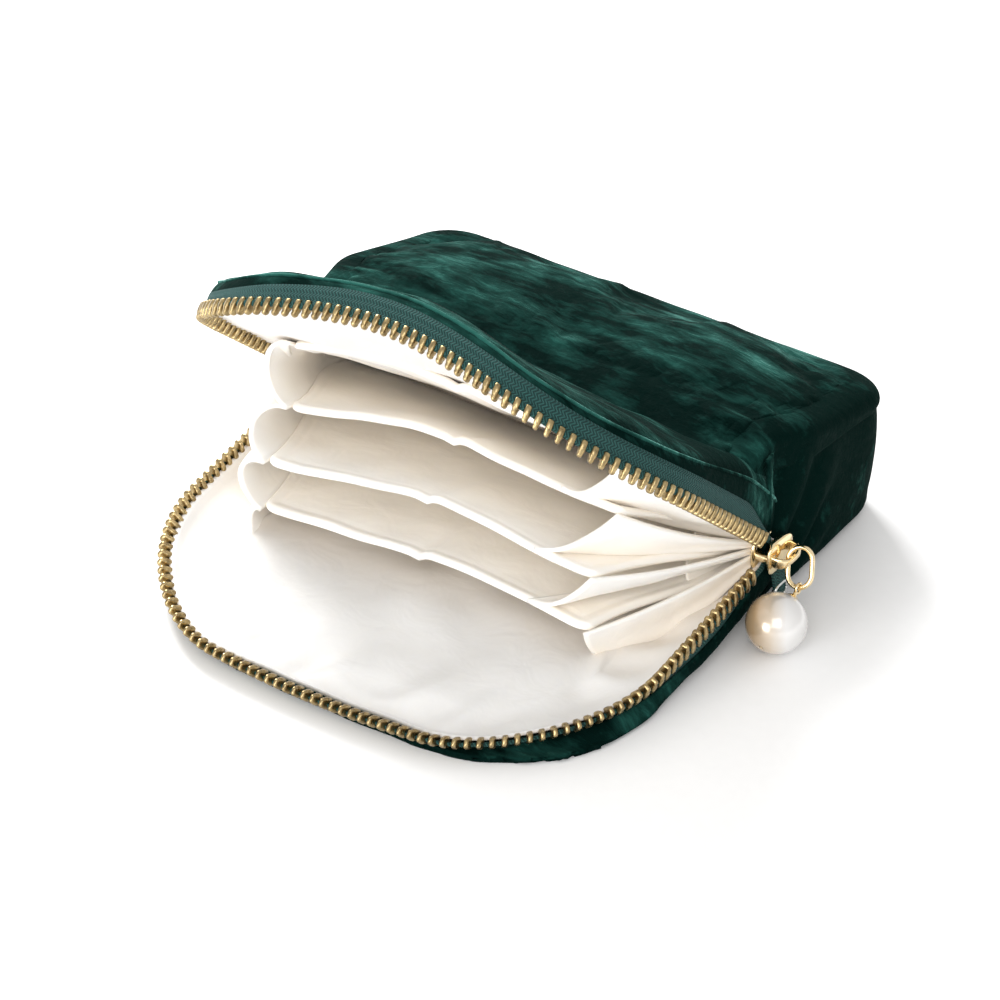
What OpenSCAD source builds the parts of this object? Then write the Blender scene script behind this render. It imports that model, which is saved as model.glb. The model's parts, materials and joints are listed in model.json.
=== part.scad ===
// Travel jewelry case: a padded velvet clamshell with a metal zipper around three sides,
// a fan of white padded dividers inside, and a pearl zipper pull. Modelled open.
// Origin: on the table, midway between the two zipper ends. +X is the slider side,
// +Y is the closed spine, -Y is the mouth, +Z is up.

/* [Case] */
// Overall width, across the mouth
case_w = 140; // [136:1:146]
// Height of the closed spine
case_h = 36; // [35:0.5:38]
// Distance from the zipper ends back to the spine
spine_y = 56; // [52:1:62]
// Distance from the zipper ends to the front rim, beside the corners
reach = 90.5; // [88:0.5:94]
// Extra reach of the front rim in its middle
front_bulge = 8.5; // [6:0.5:10]
// Plan radius of the two front corners
corner_r = 40; // [34:1:44]
// Thickness of the padded velvet skin
velvet_t = 1.8; // [1.4:0.1:2]

/* [Opening] */
// Angle of the lid rim above level, at its corners
lid_angle = 42.3; // [38:0.1:44]
// Extra angle of the lid rim in its middle, where the soft mouth arches
crown_angle = 6.4; // [4:0.1:7]
// Fall of the base rim towards the front
rim_slope = 7.5; // [6.5:0.1:8]
// Lift of the rear part of the top while the case is open
rear_lift = 14; // [10:0.5:15]

/* [Zipper] */
// Distance from one tooth to the next on the same side
tooth_pitch = 2.75; // [2.7:0.01:2.9]
// Length of a tooth along the chain
tooth_l = 0.87; // [0.85:0.01:1.16]
// Thickness of a tooth across the tape
tooth_t = 2.4; // [2.2:0.1:2.6]
// Reach of a tooth past the rim line
tooth_head = 0.5; // [0.5:0.05:0.6]
// Reach of a tooth back over the tape
tooth_clamp = 2.8; // [2.6:0.1:3]
// Width of tape that shows beside the teeth
tape_w = 4; // [3.6:0.1:4.2]
// Thickness of the tape
tape_t = 0.7; // [0.5:0.1:0.8]

/* [Slider and pull] */
// Length of the slider along the chain
slider_l = 12; // [11:0.5:12]
// Width of the slider
slider_w = 8.8; // [8:0.2:9]
// Clear gap between the slider's two plates
slider_gap = 3.2; // [3:0.1:3.4]
// Diameter of the ring's wire
ring_wire = 1.3; // [1.1:0.1:1.4]
// Radius of the ring's two round ends, to the middle of the wire
ring_r = 3.3; // [3.2:0.1:3.5]
// Length of the ring's straight sides
ring_side = 3.5; // [3:0.5:4]
// Diameter of the pearl
pearl_d = 15.5; // [14.5:0.1:15.6]

/* [Accordion] */
// Width of each divider at its front edge
leaf_w = 102; // [96:1:104]
// Thickness of a divider
leaf_t = 2.4; // [2.2:0.1:2.5]
// Height from one divider's fold line to the next
leaf_step = 4; // [3.9:0.1:4.2]
// Corner radius of a divider's front edge
leaf_r = 9; // [6:1:12]

/* [Hidden] */

VELVET = "#0f4034";
TAPE = "#1f4a45";
SATIN = "#f2efe9";
WADDING = "#dedad0";
BOARD = "#c9c3b4";
BRASS = "#a8905a";
GOLD = "#d9b25f";
PEARL = "#efece6";

half_w = case_w / 2;
hinge_z = case_h / 2;
gap = 0.3;
seam = tooth_clamp + 0.2 + tape_w;   // from the rim line to the velvet's edge
lid_rear_h = 17;                     // height of the lid over the rim plane, at the back
lid_front_h = 14;
front_lean = 55;                     // outward lean of the base tape at the front
columns = 21;                        // odd, so that the middle lies inside a cell
rows = 12;
fold_y = 10;                         // the dividers fold on lines at this y
fold_z0 = 10.5;
leaf_angles = [5, 15, 26, 35];
leaf_lengths = [63, 62, 54, 61];

// ---- shared shapes -------------------------------------------------------

function smooth(t) = let (c = min(max(t, 0), 1)) c * c * (3 - 2 * c);
function flat(rowlist) = [for (row = rowlist) each row];

// Front outline of the case in plan: distance from the hinge line at x, inset by d
function front_r(x, d = 0) =
    let (c = max(abs(x) - (half_w - corner_r), 0), rc = corner_r - d)
    reach - corner_r + sqrt(max(rc * rc - c * c, 0)) + front_bulge * (1 - pow(x / half_w, 2));

// Angle of the lid over the hinge line: the soft mouth arches in its middle
function lid_phi(x) = lid_angle + crown_angle * smooth(1 - abs(x) / half_w);

// A point of the lid: x across, r out from the hinge line, n up from the rim plane
function lid_point(x, r, n) =
    let (a = lid_phi(x))
    [x, -r * cos(a) + n * sin(a), hinge_z + r * sin(a) + n * cos(a)];

// Height of the base rim at distance r from the hinge line
function rim_z(r) = hinge_z - max(r, 0) * sin(rim_slope);

// 1 over the middle of a soft panel, falling to 0 at its side and front edges
function plump(u, v) = pow((1 - pow(abs(u), 8)) * (1 - pow(abs(v), 8)), 0.45);

// A grid of [x, r] places, closer together near the edges
function plan(d, r0, nx = columns, nr = rows) = [
    for (i = [0:nx]) let (u = sin(90 * (2 * i / nx - 1)), x = u * (half_w - d)) [
        for (j = [0:nr]) let (v = sin(90 * j / nr), end = front_r(x, d)) [x, r0 + (end - r0) * v, u, v]
    ]
];

// A closed sheet between two grids of points of the same size
module sheet(top, bottom) {
    nx = len(top) - 1;
    nr = len(top[0]) - 1;
    layer = (nx + 1) * (nr + 1);
    function at(i, j, k) = k * layer + i * (nr + 1) + j;
    function quad(a, b, c, d) = [[a, b, c], [a, c, d]];
    faces = [
        for (i = [0:nx - 1]) for (j = [0:nr - 1])
            each quad(at(i, j, 0), at(i + 1, j, 0), at(i + 1, j + 1, 0), at(i, j + 1, 0)),
        for (i = [0:nx - 1]) for (j = [0:nr - 1])
            each quad(at(i, j, 1), at(i, j + 1, 1), at(i + 1, j + 1, 1), at(i + 1, j, 1)),
        for (i = [0:nx - 1])
            each quad(at(i, 0, 0), at(i, 0, 1), at(i + 1, 0, 1), at(i + 1, 0, 0)),
        for (i = [0:nx - 1])
            each quad(at(i, nr, 0), at(i + 1, nr, 0), at(i + 1, nr, 1), at(i, nr, 1)),
        for (j = [0:nr - 1])
            each quad(at(0, j, 0), at(0, j + 1, 0), at(0, j + 1, 1), at(0, j, 1)),
        for (j = [0:nr - 1])
            each quad(at(nx, j, 0), at(nx, j, 1), at(nx, j + 1, 1), at(nx, j + 1, 0))
    ];
    polyhedron(concat(flat(top), flat(bottom)), faces);
}

// ---- lid skins -----------------------------------------------------------

// A dome over the rim plane, inset by d at its edge and lowered by drop
function lid_dome(d, drop, r0, nx = columns, nr = rows) = [
    for (column = plan(d, r0, nx, nr)) [
        for (p = column)
            let (h = lid_rear_h + (lid_front_h - lid_rear_h) * p[1] / reach - drop - seam)
            lid_point(p[0], p[1], seam + h * plump(p[2], p[3]))
    ]
];

module lid_panel() {
    color(VELVET) sheet(lid_dome(0.3, 0, 7), lid_dome(0.3 + velvet_t, velvet_t, 7));
}

module lid_padding() {
    d = velvet_t + 3;
    color(WADDING) sheet(
        lid_dome(d, velvet_t + gap, 12, 14, 8),
        lid_dome(d + 0.8, velvet_t + gap + 0.8, 12, 14, 8)
    );
}

// The lining stays in the flat middle of the lid, clear of the rim
module lid_lining() {
    depth = velvet_t + 3.3;
    lining_t = 0.7;
    half = 50;
    function level(drop) = [
        for (i = [-8:8]) let (x = i * half / 8) [
            for (j = [0:8])
                let (r = 16 + j * (52 - 10 * pow(x / half, 4)) / 8)
                lid_point(x, r, lid_rear_h + (lid_front_h - lid_rear_h) * r / reach - drop)
        ]
    ];
    color(SATIN) sheet(level(depth), level(depth + lining_t));
}

// ---- base skins ----------------------------------------------------------

// The base tray stands on the level middle of its underside
rest_dip = 0.3;

// The base tray: level over its middle, rising to the velvet's edge at the sides
function base_edge(r) = max(rim_z(r) - seam, velvet_t + 0.1);
function base_tray(d, lift, r0, nx = columns, nr = rows, rise = 0) = [
    for (column = plan(d, r0, nx, nr)) [
        for (p = column)
            let (f = plump(p[2], p[3] < 0 ? 0 : p[3]), edge = base_edge(p[1]))
            [p[0], -p[1], rise + max(lift, edge * (1 - f) + lift * f - rest_dip)]
    ]
];

base_back = spine_y - 7;  // the tray stops inside the round rear corners

module base_panel() {
    d = 3.4;
    color(VELVET) sheet(
        base_tray(d + velvet_t, velvet_t, -base_back),
        base_tray(d, 0, -base_back)
    );
}

module base_padding() {
    d = 3.4 + velvet_t + 1.5;
    low = velvet_t + gap;
    color(WADDING) sheet(
        base_tray(d, low, 6 - spine_y, 14, 8, 1),
        base_tray(d, low, 6 - spine_y, 14, 8)
    );
}

module base_lining() {
    d = 3.4 + velvet_t + 4;
    low = velvet_t + 1.3 + 4 * gap;
    color(SATIN) sheet(
        base_tray(d, low, 6 - spine_y, 18, 10, 0.7),
        base_tray(d, low, 6 - spine_y, 18, 10)
    );
}

// ---- rear of the case ----------------------------------------------------

rear_corner = 12;
gusset_front = 14;      // the ends stop here, behind the lid's swing
gusset_h = case_h - velvet_t - 0.3;

module rear_outline(d) {
    w = half_w - d;
    back = spine_y - d;
    r = rear_corner - d;
    union() {
        translate([-w, 0]) square([2 * w, back - r]);
        translate([r - w, back - r - 1]) square([2 * (w - r), r + 1]);
        for (side = [-1, 1]) translate([side * (w - r), back - r]) circle(r, $fn = 48);
    }
}

module rear_wall(d, t, z0, z1, front) {
    translate([0, 0, z0]) linear_extrude(z1 - z0) difference() {
        rear_outline(d);
        rear_outline(d + t);
        translate([-case_w, -case_w]) square([2 * case_w, case_w + front]);
    }
}

// One strip of velvet round the spine and both ends, lower beside the zipper ends
module rear_gusset() {
    color(VELVET) union() {
        rear_wall(0, velvet_t, 0, gusset_h, gusset_front);
        rear_wall(0, velvet_t, 0, hinge_z - seam - 0.4, 0.5);
    }
}

module spine_board() {
    color(BOARD) translate([-half_w + 15, spine_y - velvet_t - 1.4, 5])
        cube([case_w - 30, 1.1, gusset_h - 8]);
}

module spine_lining() {
    color(SATIN) rear_wall(velvet_t + 1.8, 0.7, hinge_z - seam + 0.5, gusset_h - 2, gusset_front + 2);
}

rear_top_len = 50;
rear_top_z = case_h - velvet_t;

// The rear part of the top folds on a line along the top of the spine
module rear_lifted() {
    translate([0, spine_y, rear_top_z]) rotate([-rear_lift, 0, 0])
        translate([0, -spine_y, -rear_top_z]) children();
}

module rear_top_shape(d, t, z, len) {
    translate([0, 0, z]) linear_extrude(t) intersection() {
        rear_outline(d);
        translate([-case_w, spine_y - len]) square([2 * case_w, len]);
    }
}

module rear_top_panel() {
    color(VELVET) rear_lifted() rear_top_shape(0.2, velvet_t, rear_top_z, rear_top_len);
}

module rear_top_lining() {
    color(SATIN) rear_lifted() rear_top_shape(8, 0.7, rear_top_z - 0.9, rear_top_len - 3);
}

// ---- zipper --------------------------------------------------------------

front_half = half_w - corner_r;
arc_l = corner_r * PI / 2;
side_l = reach - corner_r;
chain_half = front_half + arc_l + side_l;

// Place on the rim at distance u along the chain from the middle: [x, r, heading]
function rim_place(u) =
    let (v = abs(u), s = sign(u), a = (v - front_half) / corner_r * 180 / PI)
    v <= front_half ? rim_bulged(u, reach, 0)
    : v <= front_half + arc_l
        ? rim_bulged(s * (front_half + corner_r * sin(a)), side_l + corner_r * cos(a), s * a)
    : rim_bulged(s * half_w, max(chain_half - v, 0), s * 90);
function rim_bulged(x, r, a) =
    [x, r + front_bulge * (1 - pow(x / half_w, 2)) * pow(r / reach, 4), a];

// Outward lean of the base tape, from upright beside the slider to splayed at the front
function tape_lean(r) = front_lean * smooth((r - 25) / 60);

// Across-the-tape frame at a rim place: [outward in plan x, outward in plan r]
function rim_out(p) = [sin(p[2]), cos(p[2])];

// A ribbon that follows the rim, made of [across, down] corners carried along the chain
module ribbon(points_at, u0, u1, n) {
    rings = [for (k = [0:n]) points_at(u0 + (u1 - u0) * k / n)];
    body = [
        for (k = [0:n - 1]) for (c = [0:3]) let (d = (c + 1) % 4)
            each [[4 * k + c, 4 * k + d, 4 * k + 4 + d], [4 * k + c, 4 * k + 4 + d, 4 * k + 4 + c]]
    ];
    ends = [[0, 2, 1], [0, 3, 2], [4 * n, 4 * n + 1, 4 * n + 2], [4 * n, 4 * n + 2, 4 * n + 3]];
    polyhedron(flat(rings), concat(body, ends));
}

tape_start = tooth_clamp + 0.15;
tape_end = tooth_clamp + tape_w;
lower_tape_end = tooth_clamp + 1.6;    // the base skin comes up closer to the teeth
tape_rows = 64;
tape_back = 2;         // the tapes stop this far in front of the zipper ends

function upper_tape_ring(u) = let (p = rim_place(u), o = rim_out(p), h = tape_t / 2) [
    for (c = [[-h, tape_start], [h, tape_start], [h, tape_end], [-h, tape_end]])
        lid_point(p[0] + c[0] * o[0], p[1] + c[0] * o[1], c[1])
];

function base_rim_point(p, across, down) =
    let (o = rim_out(p), a = tape_lean(p[1]), out = across * cos(a) - down * sin(a))
    [p[0] + out * o[0], -(p[1] + out * o[1]), rim_z(p[1]) - down * cos(a) - across * sin(a)];

function lower_tape_ring(u) = let (p = rim_place(u), h = tape_t / 2) [
    for (c = [[-h, tape_start], [-h, lower_tape_end], [h, lower_tape_end], [h, tape_start]])
        base_rim_point(p, c[0], c[1])
];

module upper_tape() {
    end = chain_half - tape_back;
    color(TAPE) ribbon(function (u) upper_tape_ring(u), -end, end, tape_rows);
}

module lower_tape() {
    end = chain_half - tape_back;
    color(TAPE) ribbon(function (u) lower_tape_ring(u), -end, end, tape_rows);
}

teeth_back = 7.6;      // the last tooth stops clear of the slider's nose
teeth_count = floor((chain_half - teeth_back) / tooth_pitch);

// One tooth: a block that reaches past the rim line and back over the tape
module tooth() {
    translate([-tooth_l / 2, -tooth_t / 2, -tooth_clamp])
        cube([tooth_l, tooth_t, tooth_clamp + tooth_head]);
}

module upper_teeth() {
    color(BRASS) for (k = [-teeth_count:teeth_count]) {
        p = rim_place(k * tooth_pitch);
        translate([0, 0, hinge_z]) rotate([-lid_phi(p[0]), 0, 0]) translate([p[0], -p[1], 0])
            rotate([0, 0, p[2]]) mirror([0, 0, 1]) tooth();
    }
}

module lower_teeth() {
    color(BRASS) for (k = [-teeth_count:teeth_count - 1]) {
        p = rim_place((k + 0.5) * tooth_pitch);
        translate([p[0], -p[1], rim_z(p[1])]) rotate([0, 0, p[2]])
            rotate([tape_lean(p[1]), 0, 0]) tooth();
    }
}

// A stop is a small clip at the closed end of each tape, on the side away from the slider
stop_r = 4.2;
module stop_clip() {
    cube([3, 2.2, 2.2], center = true);
}

module upper_top_stop() {
    color(BRASS) translate([0, 0, hinge_z]) rotate([-lid_angle, 0, 0])
        translate([-half_w, -stop_r, 1.4]) stop_clip();
}

module lower_top_stop() {
    color(BRASS) translate([-half_w, -stop_r, rim_z(stop_r) - 1.6]) stop_clip();
}

module bottom_stop() {
    color(BRASS) translate([half_w - 4.6, 11, hinge_z - 2.5]) cube([2, 2, 5]);
}

tail_x = half_w + 1.2;
module tape_tail() {
    color(TAPE) translate([tail_x, -2.5, 5.4]) cube([0.8, 5.5, 7.6]);
}

module tail_crimp() {
    color(BRASS) translate([tail_x - 0.3, -2.7, 3.4]) cube([1.4, 5.9, 1.9]);
}

// ---- slider and pull -----------------------------------------------------

plate_t = 1.2;
bail_w = 1.2;
bail_span = 8.4;
rod_x = half_w + slider_gap / 2 + plate_t + 3.6;    // middle of the bail's outer bar

module slider_plate(x) {
    translate([x, 0, hinge_z]) rotate([0, 90, 0]) linear_extrude(plate_t) intersection() {
        square([slider_w, slider_l], center = true);
        circle(d = slider_l + 1.2, $fn = 64);
    }
}

// Two plates joined by a round post that parts the teeth
module slider_body() {
    inner = half_w - slider_gap / 2;
    color(GOLD) union() {
        slider_plate(inner - plate_t);
        slider_plate(inner + slider_gap);
        translate([inner - 0.1, -slider_l / 2 + 2, hinge_z]) rotate([0, 90, 0])
            cylinder(h = slider_gap + 0.2, d = 2.2, $fn = 32);
    }
}

// The bail is a bridge along the slider that the ring hangs on
module slider_bail() {
    plate = half_w + slider_gap / 2 + plate_t + 0.02;
    tall = rod_x + bail_w / 2 - plate;
    color(GOLD) union() {
        for (y = [-bail_span / 2, bail_span / 2 - bail_w])
            translate([plate, y, hinge_z - bail_w / 2]) cube([tall, bail_w, bail_w]);
        translate([rod_x - bail_w / 2, -bail_span / 2, hinge_z - bail_w / 2])
            cube([bail_w, bail_span, bail_w]);
    }
}

ring_swing = 15;       // the ring stands out from the case by this
ring_tilt = 30;        // and leans to the mouth by this
ring_x = ring_r - 1.5; // the bail passes through the ring beside its inner wire
ring_z = -0.4;
ring_end_z = ring_z - ring_side - ring_r;

module ring_place() {
    translate([rod_x, 0, hinge_z]) rotate([-ring_tilt, 0, 0]) rotate([0, -ring_swing, 0]) children();
}

module half_ring() {
    rotate([90, 0, 0]) rotate_extrude(angle = 180, $fn = 48)
        translate([ring_r, 0]) circle(d = ring_wire, $fn = 24);
}

module pull_ring() {
    color(GOLD) ring_place() translate([ring_x, 0, ring_z]) union() {
        half_ring();
        translate([0, 0, -ring_side]) mirror([0, 0, 1]) half_ring();
        for (side = [-1, 1]) translate([side * ring_r, 0, -ring_side])
            cylinder(h = ring_side, d = ring_wire, $fn = 24);
    }
}

// The low end of the ring, where the pearl's loop hangs
swung_x = ring_x * cos(ring_swing) - ring_end_z * sin(ring_swing);
swung_z = ring_x * sin(ring_swing) + ring_end_z * cos(ring_swing);
hang = [rod_x + swung_x, swung_z * sin(ring_tilt), hinge_z + swung_z * cos(ring_tilt)];
loop_wire = 0.7;
loop_r = ring_wire / 2 + loop_wire / 2 + 0.3;
cap_h = 1.1;
drop = pearl_d / 2 + cap_h + 2 * loop_r - 0.2;
pearl_z = pearl_d / 2 + 0.2;
pearl_fall = asin((hang[2] - pearl_z) / drop);
pearl_pos = [hang[0], hang[1] - drop * cos(pearl_fall), pearl_z];

// The pearl's own frame: origin at its middle, +Z to the loop
module pearl_place() {
    translate(pearl_pos) rotate([pearl_fall - 90, 0, 0]) children();
}

module pearl() {
    color(PEARL) pearl_place() difference() {
        sphere(d = pearl_d, $fn = 64);
        translate([0, 0, -pearl_d / 2 - 1]) cylinder(h = pearl_d + 2, d = 1.1, $fn = 24);
    }
}

// A dished cap, the pin through the pearl and the loop, formed as one finding
module pearl_cap() {
    loop_z = drop - 0.25;
    color(GOLD) pearl_place() union() {
        difference() {
            translate([0, 0, pearl_d / 2 - 0.5]) cylinder(h = cap_h + 0.4, r1 = 2.7, r2 = 0.9, $fn = 48);
            sphere(d = pearl_d + 0.1, $fn = 64);
        }
        translate([0, 0, -pearl_d / 2]) cylinder(h = pearl_d + 1.2, d = 0.9, $fn = 24);
        translate([0, 0, loop_z]) rotate([0, 90, 0]) rotate_extrude($fn = 48)
            translate([loop_r, 0]) circle(d = loop_wire, $fn = 24);
        translate([0, 0, pearl_d / 2 + 0.8]) cylinder(h = loop_z - loop_r - pearl_d / 2 - 0.6, d = 1, $fn = 24);
    }
}

// ---- accordion -----------------------------------------------------------

module leaf_place(i) {
    translate([0, fold_y, fold_z0 + leaf_step * i]) rotate([-leaf_angles[i], 0, 0]) children();
}

// Plan of a divider: straight sides and round front corners, y negative to the front
module leaf_outline(len, w, r) {
    union() {
        translate([-w / 2, r - len]) square([w, len - r]);
        translate([r - w / 2, -len]) square([w - 2 * r, r + 1]);
        for (side = [-1, 1]) translate([side * (w / 2 - r), r - len]) circle(r, $fn = 48);
    }
}

board_t = 0.9;
board_gap = 0.12;
leaf_hem = 2.5;

// A satin sleeve, hollow round its board
module divider(i) {
    color(SATIN) leaf_place(i) difference() {
        translate([0, 0, -leaf_t / 2]) linear_extrude(leaf_t) leaf_outline(leaf_lengths[i], leaf_w, leaf_r);
        translate([0, 0, -board_t / 2 - board_gap]) linear_extrude(board_t + 2 * board_gap)
            translate([0, -leaf_hem]) leaf_outline(leaf_lengths[i] - 2 * leaf_hem, leaf_w - 2 * leaf_hem, leaf_r);
    }
}

module divider_board(i) {
    hem = leaf_hem + 0.3;
    color(BOARD) leaf_place(i) translate([0, 0, -board_t / 2]) linear_extrude(board_t)
        translate([0, -hem]) leaf_outline(leaf_lengths[i] - 2 * hem, leaf_w - 2 * hem, leaf_r);
}

pleat_t = 0.8;

// The folded side webs over a divider, one at each end
module pleats(i) {
    top = 2.2;
    far = leaf_lengths[i + 1] - 10;
    color(SATIN) leaf_place(i) for (side = [-1, 1])
        translate([side * (leaf_w / 2 + 1) - pleat_t / 2, 0, 0]) rotate([90, 0, 90])
            linear_extrude(pleat_t) polygon([[-6, -0.6], [-far, -0.6], [-far, far * sin(top)], [-6, 0.8]]);
}

module lid_pocket_panel() {
    color(SATIN) leaf_place(3) translate([0, 0, -leaf_t / 2]) linear_extrude(leaf_t)
        leaf_outline(leaf_lengths[3], leaf_w, leaf_r);
}

// The strip behind the dividers that their folds are sewn to
module accordion_spine() {
    color(SATIN) translate([-leaf_w / 2, fold_y + 2.4, 8]) cube([leaf_w, 1, 4 * leaf_step + 1.5]);
}

// ---- placement -----------------------------------------------------------

base_panel();
rear_gusset();
base_padding();
spine_board();
base_lining();
spine_lining();
lower_tape();
lower_teeth();
lower_top_stop();
bottom_stop();
tape_tail();
tail_crimp();
accordion_spine();
rear_top_panel();
rear_top_lining();
lid_panel();
lid_padding();
lid_lining();
upper_tape();
upper_teeth();
upper_top_stop();
slider_body();
slider_bail();
pull_ring();
pearl_cap();
pearl();
divider(0);  // divider_lower
divider_board(0);  // divider_lower_board
pleats(0);  // pleats_lower
divider(1);  // divider_middle
divider_board(1);  // divider_middle_board
pleats(1);  // pleats_middle
divider(2);  // divider_upper
divider_board(2);  // divider_upper_board
pleats(2);  // pleats_upper
lid_pocket_panel();
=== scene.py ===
import json
import math

import bmesh
import bpy
import numpy as np
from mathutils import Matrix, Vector, noise


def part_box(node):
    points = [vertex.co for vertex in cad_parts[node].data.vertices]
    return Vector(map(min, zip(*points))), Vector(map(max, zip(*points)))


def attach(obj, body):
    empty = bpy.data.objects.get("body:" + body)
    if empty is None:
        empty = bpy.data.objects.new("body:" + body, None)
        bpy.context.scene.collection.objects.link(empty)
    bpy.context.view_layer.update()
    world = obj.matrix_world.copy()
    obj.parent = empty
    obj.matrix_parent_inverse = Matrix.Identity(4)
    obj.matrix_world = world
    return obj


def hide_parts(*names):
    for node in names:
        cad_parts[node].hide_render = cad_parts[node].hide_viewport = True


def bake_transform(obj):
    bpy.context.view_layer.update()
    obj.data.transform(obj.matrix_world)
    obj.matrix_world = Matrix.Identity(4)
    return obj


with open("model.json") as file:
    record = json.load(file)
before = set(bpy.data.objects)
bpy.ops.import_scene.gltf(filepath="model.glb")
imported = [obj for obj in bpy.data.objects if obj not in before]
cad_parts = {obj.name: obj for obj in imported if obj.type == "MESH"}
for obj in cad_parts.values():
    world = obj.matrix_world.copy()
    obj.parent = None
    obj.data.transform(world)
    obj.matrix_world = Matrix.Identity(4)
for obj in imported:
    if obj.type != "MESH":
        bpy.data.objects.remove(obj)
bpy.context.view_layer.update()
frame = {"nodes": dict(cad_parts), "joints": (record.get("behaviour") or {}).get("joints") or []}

# A travel jewelry case in crushed velvet, open on a fan of white padded dividers.
# Shapes are worked out in millimetres, in the CAD frame: the zipper ends lie on y = 0,
# the closed spine is towards +y, the mouth towards -y, and the slider is on the +x side.

MM = 0.001
JOINTS = {joint["name"]: joint for joint in frame["joints"]}


def span(node):
    """Lowest and highest corner of a CAD node, in millimetres."""
    lo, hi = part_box(node)
    return lo / MM, hi / MM


def pivot(joint):
    return Vector(JOINTS[joint]["pos_m"]) / MM


# ---- driving dimensions ----------------------------------------------------

HALF_W = span("rear_gusset")[1].x
SPINE = span("rear_gusset")[1].y
HINGE = pivot("lid_hinge").z
BULGE = 8.5                       # extra reach of the front rim in its middle
VELVET_INSET = 3.4                # the CAD base skin stops this far inside the rim
REACH = VELVET_INSET - span("base_panel")[0].y - BULGE
CORNER = 40                       # plan radius of the front corners
LID_ANGLE = math.radians(42.3)
CROWN = math.radians(6.4)
RIM_SLOPE = math.radians(7.5)
LEAN = math.radians(55)           # outward lean of the lower tape at the front
CLOTH_FRAMES = 20
PITCH = 2.75                      # from one tooth to the next on the same side
TEETH_END = 7.6                   # the last tooth stops this far from the zipper end
TAPE_EDGE = 6.8                   # from the rim line to the velvet's edge
REAR_CORNER = 12                  # plan radius of the two rear corners
VELVET_THICK = 1.2
SATIN_THICK = 0.6
WEB_THICK = 1.0
LINING_GAP = 0.55                 # the linings start this far inside the rim line
LINING_DROP = 1.9                 # and this far from it on the side away from the mouth
TRAY_FLOOR = 4.4                  # height of the tray lining before its padding
REAR_LIFT = math.radians(14)
REAR_AXIS = pivot("rear_top_fold")
LEAVES = ["leaf_lower", "leaf_middle", "leaf_upper", "leaf_top"]
LEAF_ANGLES = [math.radians(angle) for angle in (5, 15, 26, 35)]
LEAF_LENGTHS = [63, 62, 54, 59]
LEAF_ARCHES = [3.5, 3.5, 3.5, 5.6]    # how far each divider's middle rises over its plane
LEAF_DROOPS = [3.0, 3.8, 4.2, 0.0]    # how far its left end hangs
LEAF_ROOT = 63.5                      # half width of a divider at its fold
LEAF_TAPER = 14.5                     # and how much less it is at the front
FRONT_BOW = 1.5                       # the front edge stands this much further out in its middle
LEAF_PIVOTS = [pivot(name) for name in (
    "divider_lower_fold", "divider_middle_fold", "divider_upper_fold", "pocket_panel_fold")]

FRONT_HALF = HALF_W - CORNER
SIDE = REACH - CORNER
ARC = CORNER * math.pi / 2
CHAIN = FRONT_HALF + ARC + SIDE   # half the length of the zipper


# ---- shared shapes ---------------------------------------------------------

def smooth(t):
    t = np.clip(t, 0, 1)
    return t * t * (3 - 2 * t)


def rim(u):
    """Places along the zipper at distance u from its middle: x, reach, and outward heading."""
    v, side = np.abs(u), np.where(np.asarray(u) < 0, -1.0, 1.0)
    turn = np.clip((v - FRONT_HALF) / CORNER, 0, math.pi / 2)
    x = side * (np.minimum(v, FRONT_HALF) + CORNER * np.sin(turn))
    r = SIDE + CORNER * np.cos(turn) - np.maximum(v - FRONT_HALF - ARC, 0)
    bulge = BULGE * (1 - (x / HALF_W) ** 2) * (np.maximum(r, 0) / REACH) ** 4
    return x, r + bulge, side * turn


def lid_point(x, r, n):
    """A point of the lid: r out from the hinge line, n up from the rim plane."""
    a = LID_ANGLE + CROWN * smooth(1 - np.abs(x) / HALF_W)
    return np.stack([x, n * np.sin(a) - r * np.cos(a), HINGE + r * np.sin(a) + n * np.cos(a)], -1)


def rim_z(r):
    return HINGE - np.maximum(r, 0) * math.sin(RIM_SLOPE)


def lean(r):
    return LEAN * smooth((r - 25) / 60)


def lid_rim_point(u, across, up):
    """A point beside the upper chain: across the tape outwards, and up over the rim plane."""
    x, r, heading = rim(u)
    return lid_point(x + across * np.sin(heading), r + across * np.cos(heading), up)


def base_rim_point(u, across, down):
    """A point beside the lower chain, in the frame of its leaning tape."""
    x, r, heading = rim(u)
    a = lean(r)
    out = across * np.cos(a) - down * np.sin(a)
    height = rim_z(r) - down * np.cos(a) - across * np.sin(a)
    return np.stack([x + out * np.sin(heading), -(r + out * np.cos(heading)), height], -1)


def tape_reach(u):
    """From the rim line to the velvet's edge: less on the left and at the zipper ends."""
    end = 4.2 * smooth((np.abs(u) - CHAIN + 26) / 24)
    far_side = 1.6 * smooth((-u - 10) / 50)
    return TAPE_EDGE - np.maximum(end, far_side)


def slump(points):
    """Pulls the left rear corner in a little: the soft case stands unevenly."""
    pull = 4.5 * smooth((points[..., 1] - 2) / 48) * smooth((-points[..., 0] - 15) / 55)
    points[..., 0] += pull
    return points


def wander(points, size, seed=0.0):
    """Smooth noise, about -1 to 1, at each point, with bumps about size millimetres wide."""
    flat = points.reshape(-1, 3) / size + seed
    values = [noise.noise(Vector(p)) for p in flat]
    return np.array(values).reshape(points.shape[:-1]) * 1.6


def normals_of(points):
    """Unit normals of a sheet of points."""
    along = np.gradient(points, axis=0)
    across = np.gradient(points, axis=1)
    n = np.cross(along, across)
    return n / np.maximum(np.linalg.norm(n, axis=-1, keepdims=True), 1e-9)


def lerp(a, b, t):
    return a + (b - a) * t


def squarer(wave, power):
    """A sine or cosine with flattened peaks, for ovals that are nearly rectangles."""
    return np.sign(wave) * np.abs(wave) ** power


def stack_rows(rows):
    """Rows of points, one array for each, as columns by rows."""
    return np.stack(rows, axis=1)


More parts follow.
